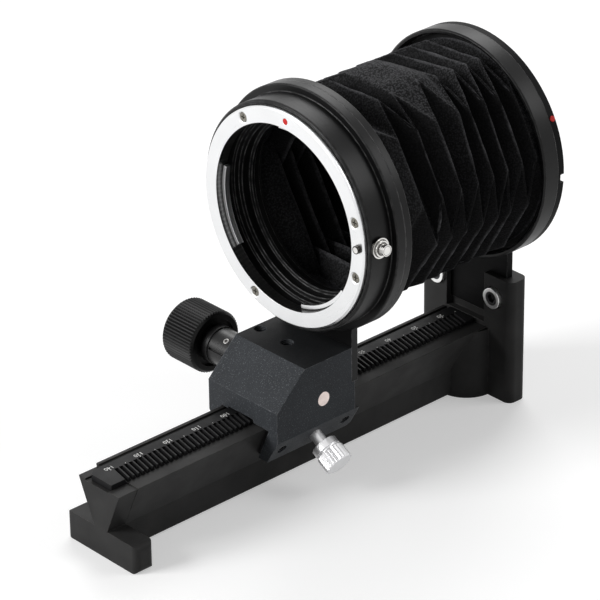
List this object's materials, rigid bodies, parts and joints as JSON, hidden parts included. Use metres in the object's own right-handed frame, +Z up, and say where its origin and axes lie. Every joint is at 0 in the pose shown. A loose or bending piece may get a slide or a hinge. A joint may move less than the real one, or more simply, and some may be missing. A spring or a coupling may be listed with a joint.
{
  "type": "macro bellows unit",
  "caption": "Macro bellows unit: a pleated hexagonal bellows between a lens bayonet on a geared carriage and a fixed camera bayonet, on a dovetail rail with a scale.",
  "frame": {"origin": "centre of the tripod socket's mouth, in the plane that the unit stands on", "axes": "+X towards the lock screw, +Y along the rail from the lens to the camera, +Z up"},
  "size_m": [0.0772, 0.1424, 0.109],
  "materials": {
    "satin_black_paint": "satin black paint over a milled aluminium rail",
    "carriage_paint": "dark grey-black paint with a fine sparkling grain",
    "black_oxide_rack": "black, with pale printed numerals and ticks",
    "black_anodised": "glossy black anodised, turned",
    "knurled_black": "black anodised with straight flutes",
    "satin_chrome": "bright satin chrome plate over turned brass",
    "bright_steel": "bright nickel-plated steel",
    "blackened_steel": "blackened steel",
    "spring_steel": "spring steel",
    "copper_alloy": "copper-coloured turned shaft",
    "brass_strip": "bare brass",
    "red_enamel": "red enamel fill",
    "frame_board": "matt black board",
    "bellows_cloth": "black coated cloth with a fine grain"
  },
  "bodies": {
    "rail": {"rail_casting": "satin_black_paint", "rack_scale": "black_oxide_rack", "rear_standard": "black_anodised", "rear_standard_screws": "bright_steel", "rear_cup": "black_anodised", "camera_bayonet": "black_anodised", "camera_bayonet_screws": "blackened_steel", "rear_index_dot": "red_enamel", "bellows_rear_frame": "frame_board", "bellows": "bellows_cloth"},
    "carriage": {"carriage_block": "carriage_paint", "gib_strip": "blackened_steel", "gib_screws": "blackened_steel", "sleeve_clamp_screws": "blackened_steel", "pinion_sleeve": "black_anodised", "sleeve_set_screw": "bright_steel", "front_standard": "black_anodised", "front_standard_screws": "blackened_steel", "lens_housing": "black_anodised", "lens_bayonet": "satin_chrome", "lens_bayonet_screws": "bright_steel", "bayonet_springs": "spring_steel", "front_index_dot": "red_enamel", "bellows_front_frame": "frame_board", "release_spring": "spring_steel"},
    "focus_drive": {"pinion_shaft": "copper_alloy", "pinion": "brass_strip", "focus_knob": "knurled_black", "knob_grub_screw": "blackened_steel"},
    "lock_screw": {"lock_thumb_screw": "satin_chrome"},
    "release": {"lock_pin": "bright_steel", "release_pin": "bright_steel"}
  },
  "joints": [
    {"name": "carriage_slide", "type": "slide", "parent": "rail", "child": "carriage", "axis": [0, 1, 0], "range_m": [-0.0425, 0.024], "deforming": ["bellows"]},
    {"name": "focus_turn", "type": "hinge", "parent": "carriage", "child": "focus_drive", "pos_m": [0, -0.0669, 0.02614], "axis": [1, 0, 0], "range_deg": [-345, 565]},
    {"name": "lock_turn", "type": "hinge", "parent": "carriage", "child": "lock_screw", "pos_m": [0.01145, -0.0683, 0.01525], "axis": [0.866, 0, -0.5], "range_deg": [-90, 360]},
    {"name": "release_press", "type": "slide", "parent": "carriage", "child": "release", "axis": [0, 1, 0], "range_m": [0, 0.0015], "stiffness_N_per_m": 1200, "springref_m": -0.0008, "deforming": ["release_spring"]}
  ],
  "couplings": [
    {"joint": "focus_turn", "follows": "carriage_slide", "rad_per_m": -230.15}
  ]
}
